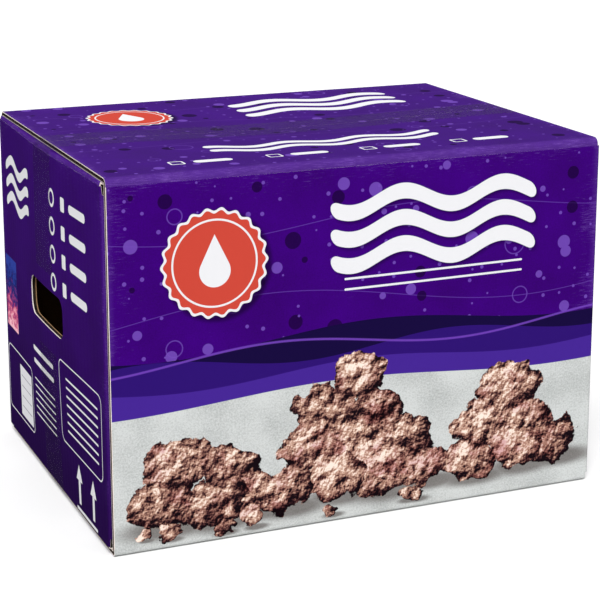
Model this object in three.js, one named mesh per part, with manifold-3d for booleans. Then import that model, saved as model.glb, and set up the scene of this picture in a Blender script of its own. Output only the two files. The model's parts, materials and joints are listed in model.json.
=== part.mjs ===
// Printed shipping carton of the regular slotted kind, closed and taped, with a hand hole in each end.
// One sheet of corrugated board is folded into four walls and glued at the front-left corner.
// Two outer flaps meet over two inner flaps, at the top and at the bottom.
// Weight inside has bowed the walls out a little, the two ends most.
// Millimetres. +X runs along the long side, +Y from the front to the back, +Z up.
// The origin is on the floor, under the middle of the carton.

import * as THREE from 'three';
import { mergeVertices } from 'three/addons/utils/BufferGeometryUtils.js';
import Module from 'manifold-3d';

const wasm = await Module();
wasm.setup();

// The carton, measured outside from crease to crease
const length = 400;
const width = 300;
const height = 280;

// The board and how it is cut
const board = 4;
const foldRadius = 2.5;
const cutSetback = 2.5;
const slotWidth = 4;
const seamGap = 1;
const clearance = 0.3;
const flapReach = width / 2;

// The glue tab inside the front-left corner
const tabReach = 35;
const tabEndInset = 12;
const tabTaper = 8;

// The hand holes
const holeWidth = 92;
const holeHeight = 32;
const holeCornerRadius = 10;
const holeCentreHeight = 150;

// How far the walls bow out, and how far up the ends' bow has its peak, as a share of half a wave
const endBowDepth = 4;
const sideBowDepth = 2;
const endBowWave = 0.68;

// The packing tape
const tapeWidth = 48;
const tapeFilm = 0.3;
const topTailLength = 97;
const bottomTailHeight = 116;
const tapeLipSetback = 1;
const tapeEndDrop = board - 0.5;

// How finely the curved and bowed faces are divided
const wallPieces = 9;
const wallRows = 8;
const arcPieces = 4;
const holeArcPieces = 6;
const tailRows = 6;
const tapePieces = 4;
const weldTolerance = 1e-4;

const violetPrint = new THREE.MeshStandardMaterial({ color: 0x3c0570, roughness: 0.5, metalness: 0 });
const bareBoard = new THREE.MeshStandardMaterial({ color: 0xb48d60, roughness: 0.9, metalness: 0 });
const clearTape = new THREE.MeshStandardMaterial({
  color: 0x6a4a96,
  roughness: 0.3,
  metalness: 0,
  transparent: true,
  opacity: 0.5,
});

// How far the outer face of an end stands out, at a place across it and a height up it.
function endBow(across, up) {
  const sideways = Math.cos((Math.PI * across) / width) ** 2;
  return endBowDepth * sideways * Math.sin((endBowWave * Math.PI * up) / height);
}

// The same for the front and the back, which are held straight along their top creases.
function sideBow(across, up) {
  const sideways = Math.cos((Math.PI * across) / length) ** 2;
  return sideBowDepth * sideways * Math.sin((Math.PI * up) / height);
}

// Points in even steps on a straight line, both ends included.
function line(x0, y0, x1, y1, pieces) {
  const points = [];
  for (let i = 0; i <= pieces; i += 1) {
    const t = i / pieces;
    points.push(new THREE.Vector2(x0 + (x1 - x0) * t, y0 + (y1 - y0) * t));
  }
  return points;
}

// Points on an arc, both ends included.
function arc(x, y, radius, from, to, pieces) {
  const points = [];
  for (let i = 0; i <= pieces; i += 1) {
    const angle = from + ((to - from) * i) / pieces;
    points.push(new THREE.Vector2(x + radius * Math.cos(angle), y + radius * Math.sin(angle)));
  }
  return points;
}

// An outline drawn out along +Z, as a closed mesh that keeps only its shared corners.
function extrude(points, depth, steps = 1) {
  const shape = new THREE.Shape(points);
  const geometry = new THREE.ExtrudeGeometry(shape, { depth, steps, bevelEnabled: false });
  geometry.deleteAttribute('normal');
  geometry.deleteAttribute('uv');
  return mergeVertices(geometry, weldTolerance);
}

// An outline in the Y-Z plane drawn out along X, the same way about X as its middle.
function extrudeAlongX(points, depth, steps = 1) {
  const geometry = extrude(points, depth, steps);
  geometry.rotateX(Math.PI / 2);
  geometry.rotateZ(Math.PI / 2);
  return geometry.translate(-depth / 2, 0, 0);
}

// An outline in the X-Z plane drawn out along +Y from a start.
function extrudeAlongY(points, start, depth, steps = 1) {
  const geometry = extrude(points, depth, steps);
  geometry.rotateX(Math.PI / 2);
  return geometry.translate(0, start + depth, 0);
}

// Moves every corner of a mesh by a rule that changes its position in place.
function reshape(geometry, rule) {
  const corners = geometry.getAttribute('position');
  const corner = new THREE.Vector3();
  for (let i = 0; i < corners.count; i += 1) {
    corner.fromBufferAttribute(corners, i);
    rule(corner);
    corners.setXYZ(i, corner.x, corner.y, corner.z);
  }
  return geometry;
}

function toSolid(geometry) {
  const vertProperties = new Float32Array(geometry.getAttribute('position').array);
  const triVerts = new Uint32Array(geometry.getIndex().array);
  return new wasm.Manifold(new wasm.Mesh({ numProp: 3, vertProperties, triVerts }));
}

function fromSolid(solid) {
  const mesh = solid.getMesh();
  const geometry = new THREE.BufferGeometry();
  geometry.setAttribute('position', new THREE.BufferAttribute(mesh.vertProperties, 3));
  geometry.setIndex(new THREE.BufferAttribute(mesh.triVerts, 1));
  return geometry;
}

function piece(name, geometry, material) {
  geometry.computeVertexNormals();
  const mesh = new THREE.Mesh(geometry, material.clone());
  mesh.name = name;
  return mesh;
}

// Each wall is made lying along its own X, with its outer face on Y = 0, its inner face on Y = board,
// and Z up. Where the board folds round a corner of the carton the outer corner is rounded.
function wall({ from, to, foldedFrom, foldedTo, bottom, top, bow }) {
  const r = foldRadius;
  const start = foldedFrom
    ? arc(from + r, r, r, Math.PI, 1.5 * Math.PI, arcPieces)
    : [new THREE.Vector2(from, 0)];
  const end = foldedTo
    ? arc(to - r, r, r, 1.5 * Math.PI, 2 * Math.PI, arcPieces)
    : [new THREE.Vector2(to, 0)];
  const first = start[start.length - 1];
  const last = end[0];
  const outerFace = line(first.x, 0, last.x, 0, wallPieces).slice(1, -1);
  const innerFace = line(to, board, from, board, wallPieces);
  const outline = [...start, ...outerFace, ...end, ...innerFace];
  const geometry = extrude(outline, top - bottom, wallRows).translate(0, 0, bottom);
  return reshape(geometry, (corner) => {
    corner.y -= bow(corner.x, corner.z);
  });
}

// A slot with rounded corners, big enough for four fingers, cut through an end.
function handHoleCutter() {
  const x = holeWidth / 2 - holeCornerRadius;
  const z = holeHeight / 2 - holeCornerRadius;
  const quarter = Math.PI / 2;
  const outline = [
    ...arc(x, z, holeCornerRadius, 0, quarter, holeArcPieces),
    ...arc(-x, z, holeCornerRadius, quarter, 2 * quarter, holeArcPieces),
    ...arc(-x, -z, holeCornerRadius, 2 * quarter, 3 * quarter, holeArcPieces),
    ...arc(x, -z, holeCornerRadius, 3 * quarter, 4 * quarter, holeArcPieces),
  ];
  const reach = 3 * board;
  return extrudeAlongY(outline, -reach, 2 * reach).translate(0, 0, holeCentreHeight);
}

// An inner flap lies one board in from the outer flaps. Its root follows the bowed end that it hangs on.
function innerFlap(bottom, rootBowHeight) {
  const half = width / 2 - board - slotWidth / 2;
  const root = line(-half, board + clearance, half, board + clearance, wallPieces);
  for (const point of root) {
    point.y -= endBow(point.x, rootBowHeight);
  }
  const outline = [...root, new THREE.Vector2(half, flapReach), new THREE.Vector2(-half, flapReach)];
  return extrude(outline, board).translate(0, 0, bottom);
}

// The end of the top tape that is stuck down the outside of an end, from the slit at the flap's edge.
function topTapeTail() {
  const ledge = height - board - clearance;
  const tailEnd = height - board - topTailLength;
  const inner = -clearance;
  const outer = -clearance - tapeFilm;
  const outline = [
    new THREE.Vector2(tapeLipSetback, ledge),
    ...line(inner, ledge, inner, tailEnd, tailRows),
    ...line(outer, tailEnd, outer, ledge + tapeFilm, tailRows),
    new THREE.Vector2(tapeLipSetback, ledge + tapeFilm),
  ];
  const geometry = extrudeAlongX(outline, tapeWidth, tapePieces);
  return reshape(geometry, (corner) => {
    if (corner.y < 0) corner.y -= endBow(corner.x, corner.z);
  });
}

// One end of the carton: the wall with its hand hole, and the inner flaps that fold in from it.
// Both upright edges are folds, to the back wall and to the front wall or its glue tab.
function cartonEnd(side) {
  const half = width / 2 - board - clearance;
  const end = new THREE.Group();
  const wallBoard = wall({
    from: -half,
    to: half,
    foldedFrom: true,
    foldedTo: true,
    bottom: board,
    top: height - board - clearance,
    bow: endBow,
  });
  const pierced = toSolid(wallBoard).subtract(toSolid(handHoleCutter()));
  end.add(piece(`${side}_end_panel`, fromSolid(pierced), violetPrint));
  const topFlap = innerFlap(height - 2 * board - clearance, height - board);
  end.add(piece(`${side}_inner_top_flap`, topFlap, violetPrint));
  end.add(piece(`${side}_inner_bottom_flap`, innerFlap(board, board), violetPrint));
  end.add(piece(`${side}_tape_tail`, topTapeTail(), clearTape));
  return end;
}

// The front and back walls reach the floor and stand as high as the underside of the outer flaps.
function sideWall(name, isGlued) {
  const geometry = wall({
    from: isGlued ? -length / 2 + cutSetback : -length / 2,
    to: length / 2,
    foldedFrom: !isGlued,
    foldedTo: true,
    bottom: 0,
    top: height - board - clearance,
    bow: sideBow,
  });
  return piece(name, geometry, violetPrint);
}

// The tab that the left end turns in behind the front wall, where the carton is glued.
function glueTab() {
  const root = -length / 2 + board + clearance;
  const tip = root + tabReach;
  const low = tabEndInset;
  const high = height - tabEndInset;
  const outline = [
    new THREE.Vector2(root, low),
    new THREE.Vector2(tip, low + tabTaper),
    new THREE.Vector2(tip, high - tabTaper),
    new THREE.Vector2(root, high),
  ];
  return extrudeAlongY(outline, board + clearance, board);
}

// An outer bottom flap has a shallow step along the seam, where the tape is pressed into the board.
function outerBottomFlap() {
  const root = board + clearance;
  const seam = flapReach - seamGap / 2;
  const step = flapReach - tapeWidth / 2 - clearance;
  const outline = [
    new THREE.Vector2(root, 0),
    new THREE.Vector2(step, 0),
    new THREE.Vector2(step, tapeFilm),
    new THREE.Vector2(seam, tapeFilm),
    new THREE.Vector2(seam, board),
    new THREE.Vector2(root, board),
  ];
  return extrudeAlongX(outline, length - 2 * cutSetback);
}

// An outer top flap, made with its crease line on the X axis and the flap lying along +Y.
function outerTopFlap() {
  const r = foldRadius;
  const seam = flapReach - seamGap / 2;
  const outline = [
    new THREE.Vector2(0, -board),
    new THREE.Vector2(seam, -board),
    new THREE.Vector2(seam, 0),
    ...arc(r, -r, r, Math.PI / 2, Math.PI, arcPieces),
  ];
  return extrudeAlongX(outline, length - 2 * cutSetback);
}

// Half of the slit top tape: along the seam edge of one flap, and down over its two cut ends.
function topTapeHalf() {
  const inner = length / 2 - cutSetback + clearance;
  const outer = inner + tapeFilm;
  const outline = [
    new THREE.Vector2(-outer, -tapeEndDrop),
    new THREE.Vector2(-inner, -tapeEndDrop),
    new THREE.Vector2(-inner, 0),
    new THREE.Vector2(inner, 0),
    new THREE.Vector2(inner, -tapeEndDrop),
    new THREE.Vector2(outer, -tapeEndDrop),
    new THREE.Vector2(outer, tapeFilm),
    new THREE.Vector2(-outer, tapeFilm),
  ];
  const start = flapReach - tapeWidth / 2;
  return extrudeAlongY(outline, start, (tapeWidth - seamGap) / 2);
}

function topFlap(side) {
  const flap = new THREE.Group();
  flap.add(piece(`${side}_top_flap`, outerTopFlap(), violetPrint));
  flap.add(piece(`${side}_top_tape`, topTapeHalf(), clearTape));
  return flap;
}

// The whole bottom tape: under the seam, round the flaps' cut ends and up the outside of both ends.
function bottomTape() {
  const wallInner = length / 2 + clearance;
  const wallOuter = wallInner + tapeFilm;
  const cutInner = length / 2 - cutSetback + clearance;
  const cutOuter = cutInner + tapeFilm;
  const turn = board - clearance;
  const outline = [
    ...line(-wallInner, bottomTailHeight, -wallInner, turn, tailRows),
    new THREE.Vector2(-cutInner, tapeFilm),
    new THREE.Vector2(cutInner, tapeFilm),
    ...line(wallInner, turn, wallInner, bottomTailHeight, tailRows),
    ...line(wallOuter, bottomTailHeight, wallOuter, turn - tapeFilm, tailRows),
    new THREE.Vector2(cutOuter, 0),
    new THREE.Vector2(-cutOuter, 0),
    ...line(-wallOuter, turn - tapeFilm, -wallOuter, bottomTailHeight, tailRows),
  ];
  const geometry = extrudeAlongY(outline, -tapeWidth / 2, tapeWidth, tapePieces);
  return reshape(geometry, (corner) => {
    if (Math.abs(corner.x) > length / 2) {
      corner.x += Math.sign(corner.x) * endBow(corner.y, corner.z);
    }
  });
}

// The four sides are placed by turning the same pieces about the upright axis.
const carton = new THREE.Group();

const front = new THREE.Group();
front.position.set(0, -width / 2, 0);
front.add(sideWall('front_panel', true));
front.add(piece('glue_tab', glueTab(), bareBoard));
front.add(piece('front_bottom_flap', outerBottomFlap(), violetPrint));

const back = new THREE.Group();
back.position.set(0, width / 2, 0);
back.rotation.z = Math.PI;
back.add(sideWall('back_panel', false));
back.add(piece('back_bottom_flap', outerBottomFlap(), violetPrint));

const left = cartonEnd('left');
left.position.set(-length / 2, 0, 0);
left.rotation.z = -Math.PI / 2;

const right = cartonEnd('right');
right.position.set(length / 2, 0, 0);
right.rotation.z = Math.PI / 2;

const frontTop = topFlap('front');
frontTop.position.set(0, -width / 2, height);

const backTop = topFlap('back');
backTop.position.set(0, width / 2, height);
backTop.rotation.z = Math.PI;

carton.add(front, back, left, right, frontTop, backTop);
carton.add(piece('bottom_tape', bottomTape(), clearTape));

export default carton;
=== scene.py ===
import json
import math
import random

import bpy
from mathutils import Matrix, Vector

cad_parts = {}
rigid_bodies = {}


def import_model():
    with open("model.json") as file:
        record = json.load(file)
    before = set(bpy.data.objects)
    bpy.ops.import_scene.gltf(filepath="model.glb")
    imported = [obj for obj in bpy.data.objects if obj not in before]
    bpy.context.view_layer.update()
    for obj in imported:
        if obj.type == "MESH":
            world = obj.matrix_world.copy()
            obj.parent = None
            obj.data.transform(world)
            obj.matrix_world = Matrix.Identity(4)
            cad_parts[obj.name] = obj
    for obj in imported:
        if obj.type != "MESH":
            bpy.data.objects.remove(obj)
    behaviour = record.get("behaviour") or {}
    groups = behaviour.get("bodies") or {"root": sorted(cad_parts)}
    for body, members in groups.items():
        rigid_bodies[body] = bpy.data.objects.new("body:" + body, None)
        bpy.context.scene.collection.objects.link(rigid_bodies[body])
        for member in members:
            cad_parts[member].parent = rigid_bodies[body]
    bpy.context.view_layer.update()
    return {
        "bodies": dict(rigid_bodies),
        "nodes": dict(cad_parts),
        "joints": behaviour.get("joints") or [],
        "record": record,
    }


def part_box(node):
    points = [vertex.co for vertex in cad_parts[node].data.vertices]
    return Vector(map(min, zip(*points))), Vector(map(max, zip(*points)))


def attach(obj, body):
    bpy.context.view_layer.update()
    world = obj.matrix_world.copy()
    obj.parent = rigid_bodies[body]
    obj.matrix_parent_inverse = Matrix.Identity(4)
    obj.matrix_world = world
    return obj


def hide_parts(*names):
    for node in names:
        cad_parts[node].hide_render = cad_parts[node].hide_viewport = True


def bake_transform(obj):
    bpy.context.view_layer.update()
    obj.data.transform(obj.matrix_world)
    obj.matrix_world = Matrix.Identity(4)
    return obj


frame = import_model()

# Camera
# It stands to the left of the carton's front and a little above its top, on a long lens.
# The lens is shifted, as the photograph's is, so that upright edges lean less than they would.
CAMERA_PLACE = (-0.5426, -1.3178, 0.5366)
CAMERA_AZIMUTH = -22.79
CAMERA_ELEVATION = 13.15
CAMERA_LENS = 107.8
CAMERA_SHIFT = -0.14

bpy.ops.object.camera_add(
    location=CAMERA_PLACE,
    rotation=(math.radians(90 - CAMERA_ELEVATION), 0, math.radians(CAMERA_AZIMUTH)),
)
camera = bpy.context.object
camera.name = "camera"
camera.data.sensor_width = 36
camera.data.lens = CAMERA_LENS
camera.data.shift_y = CAMERA_SHIFT
bpy.context.scene.camera = camera

# Corrugated board
# The carton is die-cut from single-wall board: a printed liner, a wavy fluting medium and a kraft liner,
# glued together. Each wall and flap is made flat, as it is cut, and is then folded at its creases.
MM = 0.001
FLAP_LOW, FLAP_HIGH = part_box("front_top_flap")
TOP = FLAP_HIGH.z
HALF_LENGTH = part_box("front_panel")[1].x
HALF_WIDTH = -FLAP_LOW.y
CUT_END = FLAP_HIGH.x
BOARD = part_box("front_bottom_flap")[1].z
LINER = 0.8 * MM  # drawn twice as thick as the real paper, so that the cut edge shows
MEDIUM = 0.3 * MM
FLUTE_PITCH = CUT_END / 25  # 7.9 mm, the flute size that 4 mm board has
FLUTE_STEPS = 8
GLUE_LINE = 0.02 * MM
TIGHT_FOLD = 0.3 * MM  # the least radius that the board's inner face is bent to
SMOOTH_BELOW = math.radians(38)
FLAT_STEP = 20 * MM
PAPER_RELIEF = 0.05 * MM


def linear(colour):
    """An sRGB hex colour as the linear values that a shader takes."""
    parts = [int(colour[i : i + 2], 16) / 255 for i in (0, 2, 4)]
    return [part / 12.92 if part <= 0.04045 else ((part + 0.055) / 1.055) ** 2.4 for part in parts] + [1]


def new_material(name):
    """A material without nodes."""
    material = bpy.data.materials.new(name)
    material.use_nodes = True
    material.node_tree.nodes.clear()
    return material


def add_node(material, kind, inputs=(), out=None, **settings):
    """Adds a node with its settings and links. Gives its first output, or the one or ones that out names.

    Inputs come by name, or as a list in the order in which Blender shows them. A Map Range, for example,
    shows its value, then the ends of the range that this is in and the ends of the new range.
    """
    node = material.node_tree.nodes.new("ShaderNode" + kind)
    for setting, value in settings.items():
        setattr(node, setting, value)
    shown = [socket for socket in node.inputs if socket.enabled]
    for key, value in inputs.items() if isinstance(inputs, dict) else enumerate(inputs):
        socket = shown[key] if isinstance(key, int) else node.inputs[key]
        if isinstance(value, bpy.types.NodeSocket):
            material.node_tree.links.new(value, socket)
        else:
            socket.default_value = value
    if isinstance(out, tuple):
        return [node.outputs[name] for name in out]
    return next((socket for socket in node.outputs if socket.enabled and out in (None, socket.name)), None)


def maths(material, operation, *values):
    """Works out a number from other numbers."""
    return add_node(material, "Math", values, operation=operation)


def vectors(material, operation, *values):
    """Works out a place, a distance or a direction from other places."""
    return add_node(material, "VectorMath", values, operation=operation)


def noise(material, place, scale, detail, roughness=0.5, **settings):
    """A cloudy pattern at a place, with bumps that are one over its scale apart."""
    inputs = {"Vector": place, "Scale": scale, "Detail": detail, "Roughness": roughness}
    return add_node(material, "TexNoise", inputs, **settings)


def mixed(material, share, under, over, **settings):
    """Mixes a share of a colour, which may be a hex colour, into the one under it."""
    over = linear(over) if isinstance(over, str) else over
    return add_node(material, "Mix", [share, under, over], data_type="RGBA", **settings)


def graded(paper, tone, colour, *bands):
    """Turns a tone into colours. Each band has the tones between which its own colour comes in."""
    colour = linear(colour)
    for low, high, ink in bands:
        share = add_node(paper, "MapRange", [tone, low, high])
        colour = mixed(paper, share, colour, ink)
    return colour


def raw_paper(name, dark, light):
    """Unprinted paper: dull and fibrous, a little cloudy, with flecks of darker pulp.

    The clouds are 40 mm across. Real flecks and fibres are finer than these, which are as coarse as they
    need to be to show: 0.7 flecks and 1.5 fibres to a millimetre.
    """
    paper = new_material(name)
    place = add_node(paper, "TexCoord", out="Object")
    clouds = noise(paper, place, scale=1 / (40 * MM), detail=3)
    flecks = noise(paper, place, scale=0.7 / MM, detail=3, roughness=0.7)
    tone = maths(paper, "ADD", clouds, flecks)
    colour = graded(paper, tone, dark, (0.6, 1.2, light))
    fibres = noise(paper, place, scale=1.5 / MM, detail=3)
    normal = add_node(paper, "Bump", {"Height": fibres, "Strength": 0.6, "Distance": PAPER_RELIEF})
    dull = {"Base Color": colour, "Roughness": 0.9, "IOR": 1.5, "Normal": normal}
    add_node(paper, "OutputMaterial", [add_node(paper, "BsdfPrincipled", dull)])
    return paper


# Kraft liner: plain brown paper. A fresh cut through a liner shows the paper's paler middle.
# The fluting is brown paper too, drawn near black as painted shade, because little light gets in between the
# liners.
kraft = raw_paper("kraft_paper", "84613d", "a5825a")
cut_edge = raw_paper("cut_paper_edge", "c3aea2", "f0e6e0")
fluting_in_shade = raw_paper("fluting_paper_painted_shade", "160e08", "33220f")


def steps(start, *stretches):
    """Steps from start through stretches that follow each other, each with its end and its longest step."""
    places = [start]
    for end, size in stretches:
        begin = places[-1]
        count = max(1, math.ceil((end - begin) / size - 0.001))
        places += [begin + (end - begin) * i / count for i in range(1, count + 1)]
    return places


def flat_sheet(name, across, along):
    """A flat grid with a column at each place across and a row at each place along."""
    columns, rows = len(across) - 1, len(along) - 1
    bpy.ops.mesh.primitive_grid_add(x_subdivisions=columns, y_subdivisions=rows, size=1)
    sheet = bpy.context.object
    sheet.name = name
    for vertex in sheet.data.vertices:
        column = round((vertex.co.x + 0.5) * columns)
        row = round((vertex.co.y + 0.5) * rows)
        vertex.co = (across[column], along[row], 0)
    return sheet


def apply_modifier(piece, kind, **settings):
    """Adds a modifier to a piece and applies it."""
    modifier = piece.modifiers.new(kind, kind)
    for setting, value in settings.items():
        setattr(modifier, setting, value)
    bpy.context.view_layer.objects.active = piece
    bpy.ops.object.modifier_apply(modifier=modifier.name)


def join(pieces, name):
    """Joins pieces into the first of them and smooths what is less than a fold."""
    bpy.ops.object.select_all(action="DESELECT")
    for piece in pieces:
        piece.select_set(True)
    bpy.context.view_layer.objects.active = pieces[0]
    bpy.ops.object.join()
    bpy.ops.object.shade_smooth_by_angle(angle=SMOOTH_BELOW)
    pieces[0].name = name
    pieces[0].data.name = name
    return pieces[0]


def flute_depth(across):
    """How deep in the board the middle of the fluting medium lies."""
    swing = BOARD / 2 - LINER - MEDIUM / 2 - GLUE_LINE
    return BOARD / 2 + swing * math.cos(2 * math.pi * across / FLUTE_PITCH)


def corrugated_board(name, across, along, fold, print_place, outside, cutter=None):
    """Three layers of board, made flat and folded by a rule of the place across, along and in.

    Each layer has three papers, on its outer face, its inner face and its cut edge. Where the cutter
    punches it, a layer shows a fourth: the inner liner's punched edge is in the shade and stays brown.
    """
    fine = steps(across[0], (across[-1], FLUTE_PITCH / FLUTE_STEPS))
    layers = []
    # The liners' faces towards the fluting get the same near-black paper: painted shade in the hollow.
    for layer, columns, depth, thickness, side, papers, punched in (
        ("outer", across, 0, LINER, -1, (outside, fluting_in_shade, cut_edge), cut_edge),
        ("flutes", fine, None, MEDIUM, 0, (fluting_in_shade, fluting_in_shade, fluting_in_shade), fluting_in_shade),
        ("inner", across, BOARD - LINER, LINER, -1, (fluting_in_shade, kraft, cut_edge), kraft),
    ):
        sheet = flat_sheet(f"{name}_{layer}", columns, along)
        print_map = sheet.data.uv_layers[0]
        print_map.name = "print_mm"
        for polygon in sheet.data.polygons:
            for loop in polygon.loop_indices:
                place = sheet.data.vertices[sheet.data.loops[loop].vertex_index].co
                print_map.data[loop].uv = print_place(place.x, place.y, polygon.center.x)
        for vertex in sheet.data.vertices:
            vertex.co.z = -(flute_depth(vertex.co.x) if depth is None else depth)
        for paper in papers:
            sheet.data.materials.append(paper)
        paper_slots = {"material_offset": 1, "material_offset_rim": 2}
        apply_modifier(sheet, "SOLIDIFY", thickness=thickness, offset=side, **paper_slots)
        for vertex in sheet.data.vertices:
            vertex.co = fold(vertex.co.x, vertex.co.y, -vertex.co.z)
        if cutter:
            cutter.data.materials.clear()
            cutter.data.materials.append(punched)
            apply_modifier(sheet, "BOOLEAN", object=cutter, solver="EXACT", material_mode="TRANSFER")
        layers.append(sheet)
    return join(layers, name)


def path(*corners):
    """The corners that a sheet is folded at, each across and up."""
    return [Vector(corner) for corner in corners]


def folded(corners, radius, run, depth):
    """Where a point of a sheet lies in the plane of its corners, when it is folded to the left at each.

    run is the way along the sheet's outer face and depth the distance in from that face.
    """
    leg = 0
    while leg < len(corners) - 2 and run > (corners[leg + 1] - corners[leg]).length:
        run -= (corners[leg + 1] - corners[leg]).length
        leg += 1
    start, end = corners[leg], corners[leg + 1]
    ahead = (end - start).normalized()
    inward = Vector((-ahead.y, ahead.x))
    bend = max(radius, depth + TIGHT_FOLD)
    for beside, corner, gone, way in (
        (leg - 1, start, run, 1),
        (leg + 1, end, (end - start).length - run, -1),
    ):
        if 0 <= beside < len(corners) - 1:
            half_turn = ahead.angle(corners[beside + 1] - corners[beside]) / 2
            trim = bend * math.tan(half_turn)
            if gone < trim:
                angle = (1 - gone / trim) * half_turn
                centre = corner + ahead * trim * way + inward * bend
                return centre - (bend - depth) * (inward * math.cos(angle) + ahead * math.sin(angle) * way)
    return start + ahead * run + inward * depth


# Print
# The outer liner is white-backed paper, printed in flat inks before the board is glued, and varnished.
# The design is plain shapes of our own. Its places and sizes are in millimetres on the flat sheet, and the
# edge of a shape is how far outside the shape a place is.
VIOLET_DEEP = "300160"
VIOLET = "3a0177"
WHITE_INK = "dadadd"
RED_INK = "bd4235"
PALE_SPOT = "6a45a8"
DARK_SPOT = "17022f"
FLUTE_RELIEF = 0.02 * MM
LONG_SIZE = (2 * HALF_LENGTH / MM, TOP / MM)
END_SIZE = (2 * HALF_WIDTH / MM, TOP / MM)
TOP_SIZE = (LONG_SIZE[0], END_SIZE[0])
FAR = 1200  # the pitch of a row with only one shape in it


def box_edge(paper, place, centre, size, corner):
    """The edge of a box with round corners."""
    beside = vectors(paper, "SUBTRACT", place, (*centre, 0))
    beside = vectors(paper, "ABSOLUTE", beside)
    straight = (size[0] / 2 - corner, size[1] / 2 - corner, 0)
    past = vectors(paper, "SUBTRACT", beside, straight)
    past = vectors(paper, "MAXIMUM", past, (0, 0, 0))
    reach = vectors(paper, "LENGTH", past)
    return maths(paper, "SUBTRACT", reach, corner)


def disc_edge(paper, place, centre, radius):
    """The edge of a disc."""
    beside = vectors(paper, "DISTANCE", place, (*centre, 0))
    return maths(paper, "SUBTRACT", beside, radius)


def outlined(paper, edge, thickness):
    """The edge of a line drawn along another edge."""
    beside = maths(paper, "ABSOLUTE", edge)
    return maths(paper, "SUBTRACT", beside, thickness / 2)


def united(paper, edges):
    """The edge of several shapes together."""
    edge = edges[0]
    for other in edges[1:]:
        edge = maths(paper, "MINIMUM", edge, other)
    return edge


def inked(paper, under, edge, ink, soft=0.4, strength=1):
    """Lays an ink over what is under it, inside an edge."""
    ends = [edge, soft / 2, -soft / 2, 0, strength]
    cover = add_node(paper, "MapRange", ends, interpolation_type="SMOOTHSTEP")
    return mixed(paper, cover, under, ink)


def repeated(paper, place, first, pitch, count):
    """Brings every shape of a row or a block back to the place of its first one."""
    start = (first[0] - pitch[0] / 2, first[1] - pitch[1] / 2, 0)
    from_first = vectors(paper, "SUBTRACT", place, start)
    moved = vectors(paper, "SNAP", from_first, (*pitch, 1))
    moved = vectors(paper, "MAXIMUM", moved, (0, 0, 0))
    last = ((count[0] - 1) * pitch[0], (count[1] - 1) * pitch[1], 0)
    moved = vectors(paper, "MINIMUM", moved, last)
    return vectors(paper, "SUBTRACT", place, moved)


def waved(paper, place, swell, length, start=0):
    """Moves places up and down in a wave, so that what is drawn straight comes out wavy."""
    across = add_node(paper, "SeparateXYZ", [place], out="X")
    turn = 2 * math.pi / length
    angle = maths(paper, "MULTIPLY_ADD", across, turn, start * turn)
    wave = maths(paper, "SINE", angle)
    rise = maths(paper, "MULTIPLY", wave, swell)
    shift = add_node(paper, "CombineXYZ", [0, rise])
    return vectors(paper, "ADD", place, shift)


def shore_edge(paper, place, height, swell, length, start):
    """The edge of everything below a long wave."""
    moved = waved(paper, place, swell, length, start)
    up = add_node(paper, "SeparateXYZ", [moved], out="Y")
    return maths(paper, "SUBTRACT", up, height)


def ruled_lines(paper, place, centre, length, pitch, count, thickness):
    """The edge of a block of straight lines with round ends."""
    lowest = (centre[0], centre[1] - pitch * (count - 1) / 2)
    moved = repeated(paper, place, lowest, (FAR, pitch), (1, count))
    return box_edge(paper, moved, lowest, (length, thickness), thickness / 2)


WAVE_SWELL = 0.55  # this and the next are shares of a stripe's thickness
WAVE_LENGTH = 7


def wave_stripes(paper, place, centre, length, thickness, gap, count):
    """The edge of a few thick wavy stripes, one below the other."""
    moved = waved(paper, place, WAVE_SWELL * thickness, WAVE_LENGTH * thickness)
    return ruled_lines(paper, moved, centre, length, thickness + gap, count, thickness)


def bubbles(paper, place, size, spacing, smallest, largest, share, start):
    """The edge of scattered discs of uneven size, each of them whole and clear of the face's borders."""
    start = (start, 2 * start, 0)
    scale = (1 / spacing, 1 / spacing, 0)
    cells = vectors(paper, "MULTIPLY_ADD", place, scale, start)
    scatter = {"Vector": cells, "Scale": 1, "Randomness": 0.75}
    wanted = ("Distance", "Color", "Position")
    beside, chance, middle = add_node(paper, "TexVoronoi", scatter, wanted, voronoi_dimensions="2D")
    middle = vectors(paper, "SUBTRACT", middle, start)
    middle = vectors(paper, "MULTIPLY", middle, (spacing, spacing, 0))
    clear_of = (size[0] - 3 * largest, size[1] - 3 * largest)
    clear = box_edge(paper, middle, (size[0] / 2, size[1] / 2), clear_of, corner=0)
    chance = add_node(paper, "SeparateXYZ", [chance], out="X")
    clear = maths(paper, "GREATER_THAN", clear, 0.01)
    chance = maths(paper, "ADD", chance, clear)
    radius = add_node(paper, "MapRange", [chance, 0, share, largest, smallest])
    hidden = maths(paper, "GREATER_THAN", chance, share)
    edge = maths(paper, "MULTIPLY", beside, spacing)
    edge = maths(paper, "SUBTRACT", edge, radius)
    return maths(paper, "MULTIPLY_ADD", hidden, spacing, edge)


def water_ground(paper, place, size, ground):
    """The ground of the long sides and the closed top: violet with currents, and pale and dark bubbles, some
    of them only rings.
    """
    colour = ground
    for rise, swell, length, start in ((0.36, 9, 310, 60), (0.62, 12, 420, 190), (0.84, 8, 360, 20)):
        current = shore_edge(paper, place, rise * size[1], swell, length, start)
        current = outlined(paper, current, thickness=0.6)
        colour = inked(paper, colour, current, PALE_SPOT, strength=0.45)
    dark = bubbles(paper, place, size, spacing=33, smallest=2, largest=6.5, share=0.42, start=5.7)
    rings = bubbles(paper, place, size, spacing=47, smallest=3, largest=9, share=0.5, start=8.1)
    rings = outlined(paper, rings, thickness=0.9)
    pale = bubbles(paper, place, size, spacing=27, smallest=1.4, largest=5.5, share=0.45, start=3.3)
    small = bubbles(paper, place, size, spacing=13, smallest=0.7, largest=1.6, share=0.35, start=1.9)
    colour = inked(paper, colour, dark, DARK_SPOT, strength=0.8)
    colour = inked(paper, colour, rings, PALE_SPOT, strength=0.6)
    colour = inked(paper, colour, pale, PALE_SPOT, strength=0.8)
    return inked(paper, colour, small, PALE_SPOT, strength=0.8)


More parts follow.
